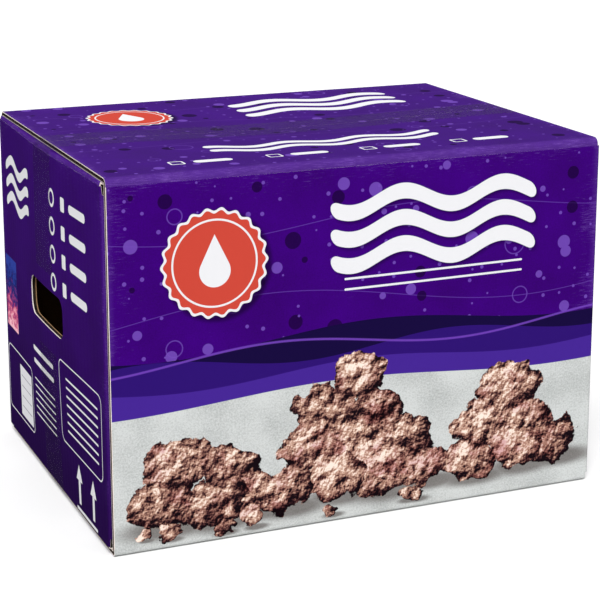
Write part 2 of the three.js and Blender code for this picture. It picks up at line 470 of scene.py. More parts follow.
SCALLOPS = 22
SEAL_SHADOW = 2.5
SCALLOP_DEPTH = 0.03  # this and the next six are shares of the seal's radius
SEAL_RIM = 0.05
DROP_TIP = 0.52
DROP_MIDDLE = -0.14
DROP_RADIUS = 0.29
RING_RADIUS = 0.78
RING_LINE = 0.035


def seal(paper, place, under, centre, radius):
    """A red seal with a scalloped white rim, a soft shadow, and a white drop and ring."""
    shadow = disc_edge(paper, place, (centre[0] + SEAL_SHADOW, centre[1] - SEAL_SHADOW), radius)
    colour = inked(paper, under, shadow, DARK_SPOT, soft=5, strength=0.8)
    beside = vectors(paper, "SUBTRACT", place, (*centre, 0))
    across, up = add_node(paper, "SeparateXYZ", [beside], out=("X", "Y"))
    angle = maths(paper, "ARCTAN2", up, across)
    angle = maths(paper, "MULTIPLY", angle, SCALLOPS)
    wave = maths(paper, "COSINE", angle)
    reach = vectors(paper, "LENGTH", beside)
    edge = maths(paper, "MULTIPLY_ADD", wave, -SCALLOP_DEPTH * radius, reach)
    edge = maths(paper, "SUBTRACT", edge, (1 - SCALLOP_DEPTH) * radius)
    colour = inked(paper, colour, edge, WHITE_INK)
    red_edge = maths(paper, "ADD", edge, SEAL_RIM * radius)
    colour = inked(paper, colour, red_edge, RED_INK)
    drop_low, drop_radius, drop_tip = DROP_MIDDLE * radius, DROP_RADIUS * radius, DROP_TIP * radius
    lean = math.asin(drop_radius / (drop_tip - drop_low))
    sideways = maths(paper, "ABSOLUTE", across)
    flank = maths(paper, "MULTIPLY", sideways, math.cos(lean))
    flank = maths(paper, "MULTIPLY_ADD", up, math.sin(lean), flank)
    flank = maths(paper, "SUBTRACT", flank, drop_tip * math.sin(lean))
    foot = maths(paper, "SUBTRACT", drop_low + drop_radius * math.sin(lean), up)
    flank = maths(paper, "MAXIMUM", flank, foot)
    belly = disc_edge(paper, beside, (0, drop_low), drop_radius)
    ring = outlined(paper, disc_edge(paper, beside, (0, 0), RING_RADIUS * radius), RING_LINE * radius)
    return inked(paper, colour, united(paper, [flank, belly, ring]), WHITE_INK)


ARROW_HEIGHT = 36
ARROW_SPACING = 36
ARROW_HEAD = 13
ARROW_SHAFT = (5, 22)
SHAFT_DROP = 3
ARROW_BAR = (54, 3)
ARROW_SLANT = math.radians(60)


def up_arrows(paper, place, centre):
    """The edge of two arrows that point up, on one bar."""
    beside = vectors(paper, "SUBTRACT", place, (*centre, 0))
    across, up = add_node(paper, "SeparateXYZ", [beside], out=("X", "Y"))
    across = maths(paper, "ABSOLUTE", across)
    across = maths(paper, "SUBTRACT", across, ARROW_SPACING / 2)
    across = maths(paper, "ABSOLUTE", across)
    one = add_node(paper, "CombineXYZ", [across, up])
    tip = ARROW_HEIGHT / 2
    shaft = box_edge(paper, one, (0, -SHAFT_DROP), ARROW_SHAFT, corner=0.5)
    slant = (math.sin(ARROW_SLANT), math.cos(ARROW_SLANT), 0)
    flank = vectors(paper, "DOT_PRODUCT", one, slant)
    flank = maths(paper, "SUBTRACT", flank, tip * slant[1])
    under = maths(paper, "SUBTRACT", tip - ARROW_HEAD, up)
    head = maths(paper, "MAXIMUM", flank, under)
    bar = box_edge(paper, beside, (0, -tip - 1), ARROW_BAR, corner=0.5)
    return united(paper, [shaft, head, bar])


# The pale colour of rubbed ink, also used for the painted highlight along the creases.
RUBBED_INK_AND_HIGHLIGHT = "8d62c4"
CREASE_RUB_AND_HIGHLIGHT = 8
RUB_REACH = 30


def scuffed_with_crease_highlight(paper, place, under, size):
    """Rubs a little ink off in specks and streaks; a soft pale band at the borders is worn ink and painted
    highlight.

    The streaks are 8 mm long and 0.9 mm wide, the patches 33 mm across. The specks are about 1 mm across,
    which is coarser than the real ones, so that they show.
    """
    half = (size[0] / 2, size[1] / 2, 0)
    beside = vectors(paper, "SUBTRACT", place, half)
    beside = vectors(paper, "ABSOLUTE", beside)
    beside = vectors(paper, "SUBTRACT", beside, half)
    across, up = add_node(paper, "SeparateXYZ", [beside], out=("X", "Y"))
    border = maths(paper, "MAXIMUM", across, up)
    # Painted highlight with worn ink: a soft pale band along every border, where the creases catch the
    # light.
    crease = add_node(paper, "MapRange", [border, -CREASE_RUB_AND_HIGHLIGHT, 0], interpolation_type="SMOOTHSTEP")
    near = add_node(paper, "MapRange", [border, -RUB_REACH, 0])
    streaky = vectors(paper, "MULTIPLY", place, (0.12, 1.1, 1))
    streaks = noise(paper, streaky, scale=1, detail=3, roughness=0.6)
    specks = noise(paper, place, scale=0.9, detail=3, roughness=0.8)
    patches = noise(paper, place, scale=0.03, detail=3)
    rubbed = maths(paper, "MULTIPLY_ADD", near, 0.26, streaks)
    rubbed = maths(paper, "MULTIPLY_ADD", patches, 0.5, rubbed)
    rubbed = maths(paper, "MULTIPLY_ADD", specks, 0.6, rubbed)
    cover = add_node(paper, "MapRange", [rubbed, 1.3, 1.65, 0, 0.35])
    cover = maths(paper, "MULTIPLY_ADD", crease, 0.1, cover)
    return mixed(paper, cover, under, RUBBED_INK_AND_HIGHLIGHT)


def varnished_print(name, size, artwork):
    """Varnished print: satin, a little cloudy, with the flutes behind it showing as faint upright lines.

    The clouds of ink are 50 mm across. The ink's mottle, 1.25 mm, and the paper's grain, 0.7 mm, are drawn
    coarser than real ones, so that they show.
    """
    paper = new_material(name)
    place = add_node(paper, "UVMap", uv_map="print_mm")
    cloud = noise(paper, place, scale=1 / 50, detail=4, roughness=0.6)
    mottle = noise(paper, place, scale=1 / 1.25, detail=2, roughness=0.7)
    cloud = maths(paper, "ADD", mottle, cloud)
    ground = graded(paper, cloud, VIOLET_DEEP, (0.7, 1.3, VIOLET))
    colour = artwork(paper, place, scuffed_with_crease_highlight(paper, place, ground, size))
    across = add_node(paper, "SeparateXYZ", [place], out="X")
    turn = maths(paper, "MULTIPLY", across, 2 * math.pi * MM / FLUTE_PITCH)
    ridge = maths(paper, "COSINE", turn)
    grain = noise(paper, place, scale=1.4, detail=3)
    relief = maths(paper, "MULTIPLY_ADD", grain, 0.8, ridge)
    normal = add_node(paper, "Bump", {"Height": relief, "Strength": 1, "Distance": FLUTE_RELIEF})
    satin = {"Roughness": 0.6, "IOR": 1.45, "Specular IOR Level": 0.02}
    shader = add_node(paper, "BsdfPrincipled", {"Base Color": colour, "Normal": normal, **satin})
    add_node(paper, "OutputMaterial", [shader])
    return paper


# Walls
# The four walls and the glue tab are one sheet, folded at four upright creases.
# The tab is glued behind the front wall at the front-left corner, where the front wall's edge stays raw.
# What is packed inside bows the walls out, the ends most. Each end has a hand hole, punched through.
END_BOW = 4 * MM
SIDE_BOW = 1.9 * MM
END_BOW_WAVE = 0.68
WALL_FOLD = 3 * MM
WALL_LOW = 6 * MM
WALL_HIGH = TOP - 6 * MM
HOLE_WIDTH = 92 * MM
HOLE_HEIGHT = 32 * MM
HOLE_CORNER = 10 * MM
HOLE_CENTRE = 150 * MM
HOLE_CORNER_STEPS = 8
TAB_LOW, TAB_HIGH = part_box("glue_tab")
TAB_TAPER = 8 * MM
BARE_EDGE = 0.4 * MM  # the ink is cracked off the paper along the front wall's cut edge

WALL_CORNERS = path(
    (-CUT_END, -HALF_WIDTH),
    (HALF_LENGTH, -HALF_WIDTH),
    (HALF_LENGTH, HALF_WIDTH),
    (-HALF_LENGTH, HALF_WIDTH),
    (-HALF_LENGTH, TAB_LOW.y),
    (TAB_HIGH.x, TAB_LOW.y),
)
WALL_STARTS = [0]
for wall_start, wall_end in zip(WALL_CORNERS, WALL_CORNERS[1:]):
    WALL_STARTS.append(WALL_STARTS[-1] + (wall_end - wall_start).length)


def bow(depth, wave, across, span, up):
    """How far a bowed wall stands out, at a place across it and a height up it."""
    return depth * math.cos(math.pi * across / span) ** 2 * math.sin(wave * math.pi * up / TOP)


def wall_at(run):
    """Which wall a place along the folded sheet is on: front, right end, back, left end or tab."""
    return sum(run > start for start in WALL_STARTS[1:-1])


def folded_wall(run, up, depth):
    """Where a place of the sheet lies once the walls are folded and bowed out, and the tab is tapered."""
    wall = wall_at(run)
    spot = folded(WALL_CORNERS, WALL_FOLD, run, depth)
    if wall in (0, 2):
        out = bow(SIDE_BOW, 1, spot.x, 2 * HALF_LENGTH, up)
        return Vector((spot.x, spot.y - out if wall == 0 else spot.y + out, up))
    if wall in (1, 3):
        out = bow(END_BOW, END_BOW_WAVE, spot.y, 2 * HALF_WIDTH, up)
        return Vector((spot.x + out if wall == 1 else spot.x - out, spot.y, up))
    reach = (run - WALL_STARTS[4]) / (WALL_STARTS[5] - WALL_STARTS[4])
    low, high = TAB_LOW.z + TAB_TAPER * reach, TAB_HIGH.z - TAB_TAPER * reach
    share = (up - WALL_LOW) / (WALL_HIGH - WALL_LOW)
    return Vector((spot.x, spot.y, low + (high - low) * share))


def wall_print(run, up, middle):
    """The place in a wall's own print, from the wall's left edge and from the floor, in millimetres."""
    wall = wall_at(middle)
    from_left = run - WALL_STARTS[wall] + (HALF_LENGTH - CUT_END if wall == 0 else 0)
    return from_left / MM, up / MM


STONE_LIGHT = Vector((-0.5, 0.7))
STONE_TURN = 0.6
HEAPS = ((78, 34, 3, 2), (196, 36, 4, 4), (326, 36, 3, 3))  # middle, foot, stones in the base, layers
STONE_SPACING = 39
STONE_LAYER = 27
STONE_WIDTHS = (42, 60)
PEBBLES = 9
PEBBLE_WIDTHS = (9, 18)
ON_SAND = 50  # a stone whose middle is lower than this stands on the sand and has a shadow there
STONE_SHADOW = (0.12, -0.42, 1.24, 0.44)  # its place beside the stone and its size, as shares of the stone
EDGE_WARP = 19
SAND_FOOT = -3  # below the front wall's crease
STONE_DARK = "140a10"
STONE_INKS = ((0, 0.25, "4a2a2b"), (0.25, 0.5, "916a5c"), (0.5, 0.75, "c09a86"), (0.75, 1, "ecdacd"))


def stones():
    """The middle, size, lean and tone of each stone of the picture, the furthest back first."""
    draw = random.Random(11)
    picture = []
    for middle, foot, base, layers in HEAPS:
        for layer in range(layers):
            count = max(1, base - layer)
            for i in range(count):
                x = middle + (i - (count - 1) / 2) * STONE_SPACING + draw.uniform(-7, 7)
                y = foot + layer * STONE_LAYER + draw.uniform(-5, 3)
                width = draw.uniform(*STONE_WIDTHS)
                picture.append((x, y, width, width * draw.uniform(0.62, 0.8), draw.uniform(-0.5, 0.5)))
    for _ in range(PEBBLES):
        width = draw.uniform(*PEBBLE_WIDTHS)
        x, y = draw.uniform(20, 385), draw.uniform(8, 22)
        picture.append((x, y, width, 0.7 * width, draw.uniform(-0.4, 0.4)))
    picture = [(*stone, draw.uniform(0.05, 0.75)) for stone in picture]
    return sorted(picture, key=lambda stone: -stone[1])


def crags(paper, place):
    """The height of a rough rock face, in lumps 10 mm across, for its light and shade."""
    return noise(paper, place, scale=1 / 10, detail=7, roughness=0.6, noise_dimensions="2D")


def stone_relief(paper, place, moved):
    """The fine light and shade of the stones: lumps lit from one side, pits 6 mm apart, dark hollows."""
    turned_place = add_node(paper, "Mapping", {"Vector": place, "Rotation": (0, 0, STONE_TURN)})
    way = Matrix.Rotation(STONE_TURN, 2) @ STONE_LIGHT
    here = crags(paper, turned_place)
    relief = 0
    for reach, strength in ((1.54, 8.5), (5.72, 2.4)):
        spot = vectors(paper, "ADD", turned_place, (*(way * reach), 0))
        fall = maths(paper, "SUBTRACT", here, crags(paper, spot))
        relief = maths(paper, "MULTIPLY_ADD", fall, strength, relief)
    turned_moved = add_node(paper, "Mapping", {"Vector": moved, "Rotation": (0, 0, STONE_TURN)})
    pits = add_node(paper, "TexVoronoi", {"Vector": turned_moved, "Scale": 0.17}, voronoi_dimensions="2D")
    for height, low, high, depth in ((pits, 0.1, 0.34, 0.55), (here, 0.34, 0.5, 0.3)):
        dark = add_node(paper, "MapRange", [height, low, high, -depth, 0])
        relief = maths(paper, "ADD", relief, dark)
    return relief


def beside_stone(paper, place, x, y, width, height, lean):
    """The place beside a stone's middle, as a share of its half width and half height."""
    oval = [place, (x, y, 0), (0, 0, lean), (width / 2, height / 2, 1)]
    return add_node(paper, "Mapping", oval, vector_type="TEXTURE")


def stone_heaps(paper, place, under):
    """Heaps of craggy, pink-brown stones with soft shadows.

    Each is an oval with a rough edge, 17 mm from one bulge to the next, and pinker patches 25 mm across.
    """
    aside, down, wide, high = STONE_SHADOW
    shadow = 2
    for x, y, width, height, _, _ in stones():
        if y < ON_SAND:
            spot = (x + aside * width, y + down * height, wide * width, high * height, 0)
            beside = beside_stone(paper, place, *spot)
            reach = vectors(paper, "LENGTH", beside)
            shadow = maths(paper, "MINIMUM", reach, shadow)
    shadow = maths(paper, "SUBTRACT", shadow, 1)
    under = inked(paper, under, shadow, "4d4440", soft=0.9, strength=0.75)
    warp = noise(paper, place, scale=0.06, detail=4, roughness=0.55, out="Color", noise_dimensions="2D")
    warp = vectors(paper, "ADD", warp, (-0.5, -0.5, -0.5))
    moved = vectors(paper, "MULTIPLY_ADD", warp, (EDGE_WARP, EDGE_WARP, 0), place)
    tone, inside = 0, 0
    for x, y, width, height, lean, shade in stones():
        beside = beside_stone(paper, moved, x, y, width, height, lean)
        reach = vectors(paper, "LENGTH", beside)
        bulge = maths(paper, "POWER", reach, 4)
        bulge = maths(paper, "MULTIPLY_ADD", bulge, -1.5, shade)
        way = Matrix.Rotation(-lean, 2) @ STONE_LIGHT
        lit = vectors(paper, "DOT_PRODUCT", beside, (*way, 0))
        lit = maths(paper, "ADD", lit, bulge)
        cover = add_node(paper, "MapRange", [reach, 1, 0.97])
        tone = add_node(paper, "Mix", [cover, tone, lit])
        inside = maths(paper, "MAXIMUM", inside, cover)
    tone = maths(paper, "ADD", stone_relief(paper, place, moved), tone)
    tone = add_node(paper, "MapRange", [tone, -1.3, 1.35])
    body = graded(paper, tone, STONE_DARK, *STONE_INKS)
    patch = noise(paper, moved, scale=1 / 25, detail=5, roughness=0.7)
    patch = add_node(paper, "MapRange", [patch, 0.48, 0.62, 0, 0.6])
    body = mixed(paper, patch, body, "bb6f8b", blend_type="MULTIPLY")
    return mixed(paper, inside, under, body)


def sand_shore(paper, place, under):
    """Bands of water above a strip of pale sand, in drifts 33 mm long and with grains 1.4 mm across.

    The grains are coarser than in a real picture of sand, so that they show.
    """
    colour = under
    for height, swell, length, start, ink in (
        (150, 7, 330, 40, "140838"),
        (137, 6, 240, 150, "2a1068"),
        (123, 5, 280, 10, "3f2287"),
    ):
        colour = inked(paper, colour, shore_edge(paper, place, height, swell, length, start), ink)
    glint = shore_edge(paper, place, height=141, swell=7, length=300, start=95)
    glint = outlined(paper, glint, thickness=1.6)
    colour = inked(paper, colour, glint, "6c3fae", soft=1, strength=0.8)
    grain = noise(paper, place, scale=0.7, detail=2, roughness=0.9)
    drift = noise(paper, place, scale=0.03, detail=4)
    tone = maths(paper, "MULTIPLY_ADD", drift, 0.6, grain)
    sand = graded(paper, tone, "979a99", (0.5, 0.9, "c4c7c6"))
    shore = shore_edge(paper, place, height=108, swell=5, length=360, start=90)
    up = add_node(paper, "SeparateXYZ", [place], out="Y")
    below = maths(paper, "SUBTRACT", SAND_FOOT, up)
    shore = maths(paper, "MAXIMUM", shore, below)
    return inked(paper, colour, shore, sand)


def long_side_artwork(paper, place, ground):
    """A seal and a wavy heading over water, with stones on the sand at its foot."""
    colour = water_ground(paper, place, LONG_SIZE, ground)
    colour = stone_heaps(paper, place, sand_shore(paper, place, colour))
    colour = seal(paper, place, colour, centre=(82, 212), radius=41)
    heading = {"centre": (258, 226), "length": 172, "thickness": 12, "gap": 8, "count": 3}
    beside = vectors(paper, "ADD", place, (-1.5, 1.8, 0))
    shadow = wave_stripes(paper, beside, **heading)
    colour = inked(paper, colour, shadow, DARK_SPOT, soft=5, strength=0.7)
    stripes = wave_stripes(paper, place, **heading)
    rules = ruled_lines(paper, place, (258, 186), length=150, pitch=8, count=2, thickness=1.6)
    return inked(paper, colour, united(paper, [stripes, rules]), WHITE_INK)


def water_picture(paper, place, under, centre, size):
    """A small picture in a panel: layers of pink growth, 6 mm from tip to tip, at the foot of blue water."""
    blots = noise(paper, place, scale=0.16, detail=4, roughness=0.6)
    up = add_node(paper, "SeparateXYZ", [place], out="Y")
    foot, head = centre[1] - size[1] / 2, centre[1] + size[1] / 2
    rise = add_node(paper, "MapRange", [up, foot, head, 0.32, -0.32])
    tone = maths(paper, "ADD", blots, rise)
    water = ("2b3f9c", (0.24, 0.4, "16206b"))
    growth = ((0.45, 0.47, "5a2c7c"), (0.55, 0.57, "a83a72"), (0.65, 0.67, "d9708f"), (0.75, 0.77, "f0b9c4"))
    picture = graded(paper, tone, *water, *growth)
    return inked(paper, under, box_edge(paper, place, centre, size, corner=1), picture)


def end_artwork(paper, place, ground):
    """Rows of marks and blocks of rules on a ground with painted shade, darker towards its foot."""
    up = add_node(paper, "SeparateXYZ", [place], out="Y")
    # Painted shade: the ground is darkened towards the floor, where less light reaches the end.
    foot = add_node(paper, "MapRange", [up, 10, 190, 0.8, 0.18])
    colour = mixed(paper, foot, ground, "1b0333")
    colour = water_picture(paper, place, colour, centre=(26, 128), size=(38, 62))
    rows = repeated(paper, place, (204, 176), pitch=(FAR, 22), count=(1, 4))
    squares = box_edge(paper, rows, (204, 176), size=(9, 11), corner=1.5)
    ovals = box_edge(paper, rows, (238, 176), size=(38, 7), corner=3.5)
    rings = outlined(paper, disc_edge(paper, rows, (176, 176), radius=6), thickness=2.4)
    stripes = wave_stripes(paper, place, (62, 226), length=84, thickness=8, gap=7, count=3)
    title = ruled_lines(paper, place, (132, 98), length=62, pitch=11, count=2, thickness=4)
    lines = ruled_lines(paper, place, (132, 62), length=62, pitch=6, count=6, thickness=1.2)
    frame = outlined(paper, box_edge(paper, place, (232, 84), size=(104, 66), corner=7), thickness=1)
    rules = ruled_lines(paper, place, (236, 84), length=78, pitch=7, count=7, thickness=1.6)
    arrows = up_arrows(paper, place, (240, 26))
    panel = outlined(paper, box_edge(paper, place, (48, 52), size=(84, 56), corner=6), thickness=1)
    shapes = [squares, ovals, rings, stripes, title, lines, frame, rules, arrows, panel]
    colour = inked(paper, colour, united(paper, shapes), WHITE_INK)
    label = box_edge(paper, place, (66, 50), size=(40, 44), corner=1)
    colour = inked(paper, colour, label, WHITE_INK)
    entries = ruled_lines(paper, place, (66, 50), length=32, pitch=9, count=4, thickness=0.8)
    return inked(paper, colour, entries, "8b8894")


# Varnished print on white-backed paper: deep flat inks under a satin film that hardly shines.
long_side_print = varnished_print("varnished_print_long_side", LONG_SIZE, long_side_artwork)
end_print = varnished_print("varnished_print_end", END_SIZE, end_artwork)

# A long bar with round edges punches both hand holes.
bpy.ops.mesh.primitive_cube_add(size=1, location=(0, 0, HOLE_CENTRE))
cutter = bpy.context.object
cutter.scale = (3 * HALF_LENGTH, HOLE_WIDTH, HOLE_HEIGHT)
bpy.ops.object.transform_apply(location=True, rotation=False, scale=True)
apply_modifier(cutter, "BEVEL", width=HOLE_CORNER, segments=HOLE_CORNER_STEPS, limit_method="NONE")

stretches = [(BARE_EDGE, BARE_EDGE)]
for crease in WALL_STARTS[1:-1]:
    stretches += [(crease - BOARD - TIGHT_FOLD, FLAT_STEP), (crease, MM), (crease + BOARD + TIGHT_FOLD, MM)]
wall_columns = steps(0, *stretches, (WALL_STARTS[-1], FLAT_STEP))
wall_rows = steps(WALL_LOW, (WALL_HIGH, FLAT_STEP))
walls = corrugated_board(
    "carton_walls", wall_columns, wall_rows, folded_wall, wall_print, long_side_print, cutter
)
bpy.data.objects.remove(cutter)
end_slot = len(walls.data.materials)
bare_slot = end_slot + 1
for paper in (end_print, cut_edge):
    walls.data.materials.append(paper)
for polygon in walls.data.polygons:
    if polygon.material_index == 0:
        on_end = abs(polygon.normal.x) > abs(polygon.normal.y)
        behind_front = polygon.center.x < -CUT_END and polygon.center.y < 0
        along_cut = polygon.center.x < BARE_EDGE - CUT_END and polygon.center.y < BOARD - HALF_WIDTH
        if on_end or behind_front:
            polygon.material_index = end_slot
        elif along_cut:
            polygon.material_index = bare_slot
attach(walls, "carton")
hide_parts("front_panel", "back_panel", "left_end_panel", "right_end_panel", "glue_tab")

# Outer top flaps
# The flaps of the two long walls fold over last and meet at the middle, where the tape holds them.
# Nothing holds them up there, so they sag a little. Each crease is a soft roll of the same board.
SEAM = 0.05 * MM
CREASE_ROLL = 5 * MM
CREASE_REACH = 10 * MM
CREASE_STEP = 0.7 * MM
TOP_SAG = 3.5 * MM
SAG_START = HALF_WIDTH - CREASE_REACH
SIDES = ("front", "right", "back", "left")


def turned(side, place):
    """Turns a place at the front of the carton to another of its sides."""
    return Matrix.Rotation(math.radians(90) * SIDES.index(side), 3, "Z") @ place


def sag(place):
    """How far the closed top sinks at a place."""
    lengthways = math.cos(math.pi * place.x / (2 * HALF_LENGTH)) ** 2
    return TOP_SAG * lengthways * max(0, 1 - abs(place.y) / SAG_START)


def flap_rule(side, corners, radius, settle):
    """The rule that folds a flap of one side, and then lets it settle."""

    def fold(across, run, depth):
        spot = folded(corners, radius, run, depth)
        return settle(turned(side, Vector((across, -spot.x, spot.y))))

    return fold


def sunk(place):
    """Lets a place sink with the closed top."""
    return Vector((place.x, place.y, place.z - sag(place)))


def top_artwork(paper, place, ground):
    """The same seal and headings on the closed top, its ground greyed a little as painted sheen."""
    # Painted sheen: the top's ground is mixed a little towards pale grey-violet.
    greyed_for_sheen = mixed(paper, 0.03, ground, "8d7fa6")
    colour = water_ground(paper, place, TOP_SIZE, greyed_for_sheen)
    colour = seal(paper, place, colour, centre=(92, 228), radius=36)
    stripes = wave_stripes(paper, place, (262, 236), length=150, thickness=12, gap=9, count=3)
    row = repeated(paper, place, (86, 34), pitch=(76, FAR), count=(4, 1))
    squares = outlined(paper, box_edge(paper, row, (66, 34), size=(10, 10), corner=1.5), thickness=1.5)
    ovals = box_edge(paper, row, (94, 34), size=(30, 9), corner=4.5)
    heading = wave_stripes(paper, place, (200, 74), length=190, thickness=9, gap=7, count=2)
    return inked(paper, colour, united(paper, [stripes, squares, ovals, heading]), WHITE_INK)


# The same varnished print, on the closed top.
top_print = varnished_print("varnished_print_top", TOP_SIZE, top_artwork)

top_path = path((HALF_WIDTH, WALL_HIGH), (HALF_WIDTH, TOP), (SEAM, TOP))
crease_run = TOP - WALL_HIGH
flap_start = crease_run + CREASE_REACH
flap_end = crease_run + HALF_WIDTH - SEAM
flap_columns = steps(-CUT_END, (CUT_END, FLAT_STEP))
for side, front_way in (("front", 1), ("back", -1)):

    def top_place(across, run, _):
        """The place in the print of the closed top, from its left edge and from its front edge."""
        x, y = across * front_way, (run - crease_run - HALF_WIDTH) * front_way
        return (x + HALF_LENGTH) / MM, (y + HALF_WIDTH) / MM

    rule = flap_rule(side, top_path, CREASE_ROLL, sunk)
    crease_rows = steps(0, (flap_start, CREASE_STEP))
    name = f"{side}_top_crease"
    crease = corrugated_board(name, flap_columns, crease_rows, rule, top_place, top_print)
    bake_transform(crease)
    flap_rows = steps(flap_start, (flap_end, FLAT_STEP))
    flap = corrugated_board(f"{side}_flap_board", flap_columns, flap_rows, rule, top_place, top_print)
    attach(flap, f"{side}_flap")
    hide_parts(f"{side}_top_flap")

# Inner top flaps
# The flaps of the two ends fold in first. They stop well short of each other and lie under the outer ones.
# Their creases follow the bowed ends, so that a narrow ledge shows past the outer flaps' cut ends.
INNER_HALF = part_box("left_inner_top_flap")[1].y
INNER_REACH = -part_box("left_inner_top_flap")[1].x
INNER_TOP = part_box("left_inner_top_flap")[1].z
INNER_ROLL = 2 * MM
inner_columns = steps(-INNER_HALF, (INNER_HALF, FLAT_STEP))
BOW_FADE = 40 * MM
CREASE_RISE = 1.8 * MM  # the crease stands up beside the outer flaps' cut ends
LEDGE = CUT_END + 0.4 * MM


def way_past(place, start, end):
    """How much of the way from one distance along the carton to another a place has gone, up to 1."""
    return min(1, max(0, (abs(place.x) - start) / (end - start)))


def bowed_out(place, start=HALF_LENGTH - BOW_FADE):
    """Moves a place beside an end out with that end's bow, which begins at start and is full at the end."""
    out = bow(END_BOW, END_BOW_WAVE, place.y, 2 * HALF_WIDTH, place.z) * way_past(place, start, HALF_LENGTH)
    return Vector((place.x + math.copysign(out, place.x), place.y, place.z))


def raised(place):
    """Lifts the crease of an inner flap where it lies past the outer flaps' cut ends."""
    rise = CREASE_RISE * way_past(place, LEDGE, LEDGE + MM)
    rise *= max(0, place.z - WALL_HIGH) / (INNER_TOP - WALL_HIGH)
    return Vector((place.x, place.y, place.z + rise))


def raised_and_bowed(place):
    return sunk(bowed_out(raised(place)))


def inner_place(across, run, _):
    """A place on an inner flap, in millimetres. Its print is plain, so it may be measured from any edge."""
    return (across + INNER_HALF) / MM, run / MM


# The same varnished paper with the ground ink alone, on the flaps that are folded inside.
plain_print = varnished_print("varnished_print_plain", END_SIZE, lambda paper, place, ground: ground)

inner_path = path((HALF_LENGTH, WALL_HIGH), (HALF_LENGTH, INNER_TOP), (INNER_REACH, INNER_TOP))
roll_end = INNER_TOP - WALL_HIGH + BOARD + TIGHT_FOLD
inner_end = INNER_TOP - WALL_HIGH + HALF_LENGTH - INNER_REACH
inner_rows = steps(0, (roll_end, CREASE_STEP), (inner_end, FLAT_STEP))
for side in ("left", "right"):
    rule = flap_rule(side, inner_path, INNER_ROLL, raised_and_bowed)
    name = f"{side}_inner_top_board"
    flap = corrugated_board(name, inner_columns, inner_rows, rule, inner_place, plain_print)
    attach(flap, "carton")
    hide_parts(f"{side}_inner_top_flap")

# Bottom flaps
# The bottom is closed as the top is, with the flaps of the ends inside and those of the long walls outside.
# Over the seam the board is pressed up by the thickness of the tape.
BOTTOM_ROLL = 3 * MM
INNER_BOTTOM = BOARD + TIGHT_FOLD
TAPE_PRESS = 0.2 * MM
PRESS_FADE = 40 * MM


def pressed(place):
    """Lifts a place of the bottom off the tape under the seam, less and less beside it."""
    lift = TAPE_PRESS * min(1, 2 * max(0, 1 - abs(place.y) / PRESS_FADE))
    return Vector((place.x, place.y, place.z + lift))


outer_path = path((SEAM, 0), (HALF_WIDTH, 0), (HALF_WIDTH, WALL_LOW))
outer_bend = HALF_WIDTH - SEAM
outer_flat = outer_bend - BOARD - TIGHT_FOLD
outer_rows = steps(0, (outer_flat, FLAT_STEP), (outer_bend + WALL_LOW, CREASE_STEP))
inner_low_path = path((INNER_REACH, INNER_BOTTOM), (HALF_LENGTH, INNER_BOTTOM), (HALF_LENGTH, WALL_LOW))
inner_bend = HALF_LENGTH - INNER_REACH
inner_flat = inner_bend - BOARD - TIGHT_FOLD
inner_low_rows = steps(0, (inner_flat, FLAT_STEP), (inner_bend + WALL_LOW - INNER_BOTTOM, CREASE_STEP))


def low_place(across, run, _):
    """The place in the print of a long wall, which goes on round its bottom crease."""
    return (across + HALF_LENGTH) / MM, (run + SEAM - HALF_WIDTH) / MM


for side in ("front", "back"):
    rule = flap_rule(side, outer_path, BOTTOM_ROLL, pressed)
    name = f"{side}_bottom_board"
    flap = corrugated_board(name, flap_columns, outer_rows, rule, low_place, long_side_print)
    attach(flap, "carton")
    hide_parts(f"{side}_bottom_flap")
for side in ("left", "right"):
    rule = flap_rule(side, inner_low_path, INNER_ROLL, bowed_out)
    name = f"{side}_inner_bottom_board"
    flap = corrugated_board(name, inner_columns, inner_low_rows, rule, inner_place, plain_print)
    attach(flap, "carton")
    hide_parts(f"{side}_inner_bottom_flap")

# Packing tape
# Clear polypropylene film, stuck along the seams at the top and the bottom and down over the ends.
# It is torn off on a toothed blade. At the top it is slit along the seam and at the flaps' cut ends.
FILM = 0.1 * MM
FILM_LIFT = 0.15 * MM
FILM_FOLD = 0.6 * MM
TAPE_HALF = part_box("bottom_tape")[1].y
TOOTH_PITCH = 1 * MM
TOOTH = 0.8 * MM
TAIL_STEP = 8 * MM
FLOOR_GAP = 0.02 * MM
TOP_TAIL_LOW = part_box("left_tape_tail")[0].z
BOTTOM_TAIL_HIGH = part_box("bottom_tape")[1].z
TOP_TAPE_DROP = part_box("front_top_tape")[0].z

# Clear polypropylene film: hardly seen. It dulls the print a little, and is glossier and slightly wrinkled.
# The spots of trapped air come at 0.26 to a millimetre and the wrinkles at 0.06.
clear_film = new_material("clear_polypropylene_film")
place = add_node(clear_film, "TexCoord", out="Object")
air = noise(clear_film, place, scale=0.26 / MM, detail=4, roughness=0.7)
cover = add_node(clear_film, "MapRange", [air, 0.35, 0.75, 0.04, 0.14])
wrinkles = noise(clear_film, place, scale=0.06 / MM, detail=3)
normal = add_node(clear_film, "Bump", {"Height": wrinkles, "Strength": 0.5, "Distance": FILM})
glossy = {"Base Color": linear("3a2a4c"), "Roughness": 0.25, "IOR": 1.49, "Alpha": cover, "Normal": normal}
add_node(clear_film, "OutputMaterial", [add_node(clear_film, "BsdfPrincipled", glossy)])


def film(name, across, along, fold, body, node):
    """A strip of tape, made flat and folded by a rule of the place across, along and in."""
    strip = flat_sheet(name, across, along)
    strip.data.materials.append(clear_film)
    apply_modifier(strip, "SOLIDIFY", thickness=FILM, offset=-1)
    for vertex in strip.data.vertices:
        vertex.co = fold(vertex.co.x, vertex.co.y, -vertex.co.z)
    bpy.ops.object.shade_smooth_by_angle(angle=SMOOTH_BELOW)
    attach(strip, body)
    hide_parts(node)


def tooth(place):
    """The blade's teeth, one side of a tooth for each step across the tape."""
    return TOOTH * (round(place / TOOTH_PITCH) % 2)


